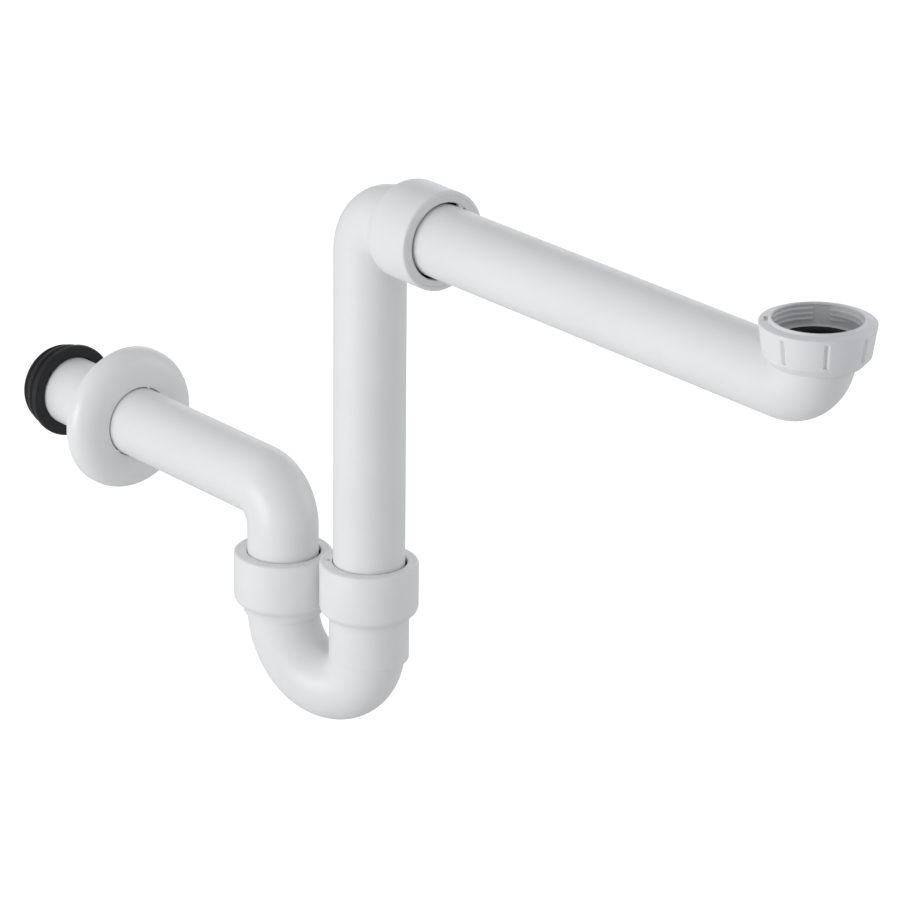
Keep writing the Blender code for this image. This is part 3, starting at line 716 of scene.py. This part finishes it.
def grown(name, build, values, centre):
    """A plain closed mesh grown by a geometry tree from the values, moved to the centre."""
    tree = bpy.data.node_groups.new(name, "GeometryNodeTree")
    tree.interface.new_socket("Geometry", in_out="OUTPUT", socket_type="NodeSocketGeometry")
    kinds = {int: "NodeSocketInt", float: "NodeSocketFloat"}
    identifiers = {}
    for label, value in values.items():
        kind = kinds.get(type(value), "NodeSocketMaterial")
        made = tree.interface.new_socket(label, in_out="INPUT", socket_type=kind)
        identifiers[label] = made.identifier
    given = node(tree, "NodeGroupInput").outputs
    real = node(tree, "GeometryNodeRealizeInstances")
    coated = node(tree, "GeometryNodeSetMaterial")
    out = node(tree, "NodeGroupOutput")
    tree.links.new(build(tree, given), real.inputs["Geometry"])
    tree.links.new(real.outputs["Geometry"], coated.inputs["Geometry"])
    tree.links.new(given["Material"], coated.inputs["Material"])
    tree.links.new(coated.outputs["Geometry"], out.inputs["Geometry"])

    piece = linked(name, bpy.data.meshes.new(name))
    grow = piece.modifiers.new(name, "NODES")
    grow.node_group = tree
    for label, value in values.items():
        grow[identifiers[label]] = value
    applied(piece)
    piece.data.transform(Matrix.Translation(centre * MM) @ Matrix.Scale(MM, 4))
    shape = bmesh.new()
    shape.from_mesh(piece.data)
    open_edges = [edge for edge in shape.edges if edge.is_boundary]
    if open_edges:
        bmesh.ops.holes_fill(shape, edges=open_edges)
    bmesh.ops.recalc_face_normals(shape, faces=shape.faces)
    shape.to_mesh(piece.data)
    shape.free()
    return piece


def make_union_nut():
    """The tapered nut: raised lip, interrupted thread, grips and the notch in its rim."""
    rim, rim_r = 31.6, 25.55
    lip, lip_r = 33.1, 19.7
    shoulder, shoulder_r = 17.1, 23.4
    floor = 16.4
    foot = 13.4
    hole_r = 17.7
    root_r = 20.955
    corners = [
        (rim - 0.2, rim_r, 0.7), (shoulder, shoulder_r, 0.6), (foot, 20.1, 0.5),
        (foot, hole_r, 0.3), (floor, hole_r, 0.2), (floor, 19.5, 0.3), (21.6, 19.5, 0.3),
        (22.5, root_r, 0.2), (lip - 1.8, root_r, 0.2), (lip - 1.2, lip_r, 0.3),
        (lip, lip_r, 0.45), (lip, 20.7, 0.5), (lip - 1.1, 21.3, 0.3),
    ]
    nut = turned("union_nut_fine", eased(corners), NUT_CENTRE, Z, NUT_ROUND)
    thread = grown("thread", thread_ridge, {
        "Steps": 420, "Turns": 2.6, "Pitch": 2.309, "Start height": 25.2,
        "Crest radius": 19.475, "Root radius": root_r, "Crest width": 0.55, "Root width": 1.95,
        "Channels": 4, "Channel half angle": math.radians(9.5),
        "First channel": math.radians(42.0), "Sink": 0.35, "Material": finishes["nut white"],
    }, NUT_CENTRE)
    low = shoulder + 1.2
    high = rim - 2.2
    middle = (low + high) / 2
    side_r = shoulder_r + 2.15 * (middle - shoulder) / (rim - shoulder)
    grips = grown("grips", grip_grooves, {
        "Count": 8, "Radius": side_r, "Height": middle, "Length": high - low,
        "Width": 2.6, "Depth": 1.2, "Taper": math.atan2(rim_r - shoulder_r, rim - shoulder),
        "First": math.radians(10.5), "Material": finishes["nut white"],
    }, NUT_CENTRE)
    way = math.radians(135.5)
    notch_r = 22.2
    spot = NUT_CENTRE + Vector((math.cos(way) * notch_r, math.sin(way) * notch_r, lip - 0.6))
    place = Matrix.Translation(spot * MM) @ Matrix.Rotation(way, 4, "Z")
    notch = block("nut notch", (1.6, 6.0, 3.4), place)
    combined(nut, ("UNION", thread), ("DIFFERENCE", grips), ("DIFFERENCE", notch))
    finished(nut, "nut white", "nut", "union_nut")


make_wall_seal()
make_rosette()
make_outlet_pipe()
make_trap_bend()
retaining_ring("trap_outlet_ring", OUTLET_MOUTH, -Z, math.radians(-55), "trap")
lip_seal("trap_outlet_seal", OUTLET_MOUTH, -Z, "outlet_seal")
retaining_ring("trap_inlet_ring", INLET_MOUTH, -Z, math.radians(-140), "trap")
lip_seal("trap_inlet_seal", INLET_MOUTH, -Z, "inlet_seal")
make_downpipe()
retaining_ring("elbow_ring", ELBOW_MOUTH, Y, math.radians(-54), "down", ELBOW_RING_STAND)
lip_seal("elbow_seal", ELBOW_MOUTH, Y, "arm_seal")
make_inlet_tube()
make_gasket()
make_union_nut()


# ---- floor, light and camera


def pale_floor():
    """A pale floor that keeps the shadow but looks white to the camera."""
    shape = bmesh.new()
    bmesh.ops.create_grid(shape, x_segments=1, y_segments=1, size=6.0)
    floor = meshed("floor", shape)
    floor.data.transform(Matrix.Translation((0, 0, FLOOR_HEIGHT_IN_METRES)))
    material = bpy.data.materials.new("pale floor")
    material.use_nodes = True
    tree = material.node_tree
    tree.nodes.clear()
    out = node(tree, "ShaderNodeOutputMaterial")
    matt = node(tree, "ShaderNodeBsdfDiffuse", Color=(0.80, 0.80, 0.80, 1))
    glow = node(tree, "ShaderNodeEmission", Color=(1, 1, 1, 1))
    rays = node(tree, "ShaderNodeLightPath")
    both = node(tree, "ShaderNodeAddShader")
    strength = sums(tree, "MULTIPLY", rays.outputs["Is Camera Ray"], 0.62)
    tree.links.new(strength, glow.inputs["Strength"])
    tree.links.new(matt.outputs["BSDF"], both.inputs[0])
    tree.links.new(glow.outputs["Emission"], both.inputs[1])
    tree.links.new(both.outputs["Shader"], out.inputs["Surface"])
    floor.data.materials.append(material)


def studio_world():
    """Soft light from all round, and plain white behind for the camera alone."""
    world = bpy.data.worlds.new("studio")
    bpy.context.scene.world = world
    world.use_nodes = True
    tree = world.node_tree
    tree.nodes.clear()
    out = node(tree, "ShaderNodeOutputWorld")
    soft = node(tree, "ShaderNodeBackground", Color=(0.95, 0.97, 1.0, 1), Strength=0.585)
    white = node(tree, "ShaderNodeBackground", Color=(1, 1, 1, 1), Strength=1.0)
    rays = node(tree, "ShaderNodeLightPath")
    mix = node(tree, "ShaderNodeMixShader")
    tree.links.new(rays.outputs["Is Camera Ray"], mix.inputs["Fac"])
    tree.links.new(soft.outputs["Background"], mix.inputs[1])
    tree.links.new(white.outputs["Background"], mix.inputs[2])
    tree.links.new(mix.outputs["Shader"], out.inputs["Surface"])


def soft_lamp(name, way, distance, size, power):
    """A square lamp that looks at the object; its distance and size are in metres."""
    lamp = bpy.data.lights.new(name, "AREA")
    lamp.shape = "SQUARE"
    lamp.size = size
    lamp.energy = power
    spot = linked(name, lamp)
    way = Vector(way).normalized()
    spot.location = LAMP_CENTRE_IN_METRES + way * distance
    spot.rotation_euler = way.to_track_quat("Z", "Y").to_euler()


def photograph_camera():
    level = math.cos(CAMERA_ELEVATION)
    right = Vector((math.cos(CAMERA_AZIMUTH), math.sin(CAMERA_AZIMUTH), 0))
    back = Vector((
        math.sin(CAMERA_AZIMUTH) * level, -math.cos(CAMERA_AZIMUTH) * level,
        math.sin(CAMERA_ELEVATION),
    ))
    up = back.cross(right)
    rolled_right = right * math.cos(CAMERA_ROLL) + up * math.sin(CAMERA_ROLL)
    rolled_up = up * math.cos(CAMERA_ROLL) - right * math.sin(CAMERA_ROLL)
    target = (ELBOW_CORNER + right * AIM_RIGHT_OF_ELBOW - up * AIM_BELOW_ELBOW) * MM
    lens = bpy.data.cameras.new("photograph")
    lens.sensor_width = SENSOR_WIDTH
    lens.lens = FOCAL_PIXELS / PICTURE_PIXELS * SENSOR_WIDTH
    lens.clip_end = 50
    camera = linked("photograph", lens)
    turn = Matrix((rolled_right, rolled_up, back)).transposed().to_4x4()
    camera.matrix_world = Matrix.Translation(target + back * CAMERA_METRES_AWAY) @ turn
    bpy.context.scene.camera = camera


pale_floor()
studio_world()
soft_lamp("left lamp", (-0.99, 0.12, -0.035), 1.6, 1.05, 17.5)
soft_lamp("right lamp", (0.85, -0.45, 0.25), 1.8, 1.0, 4.1)
soft_lamp("rear lamp", (0.7, 0.65, 0.2), 1.8, 1.0, 2.5)
photograph_camera()
bpy.context.scene.view_settings.view_transform = "Standard"
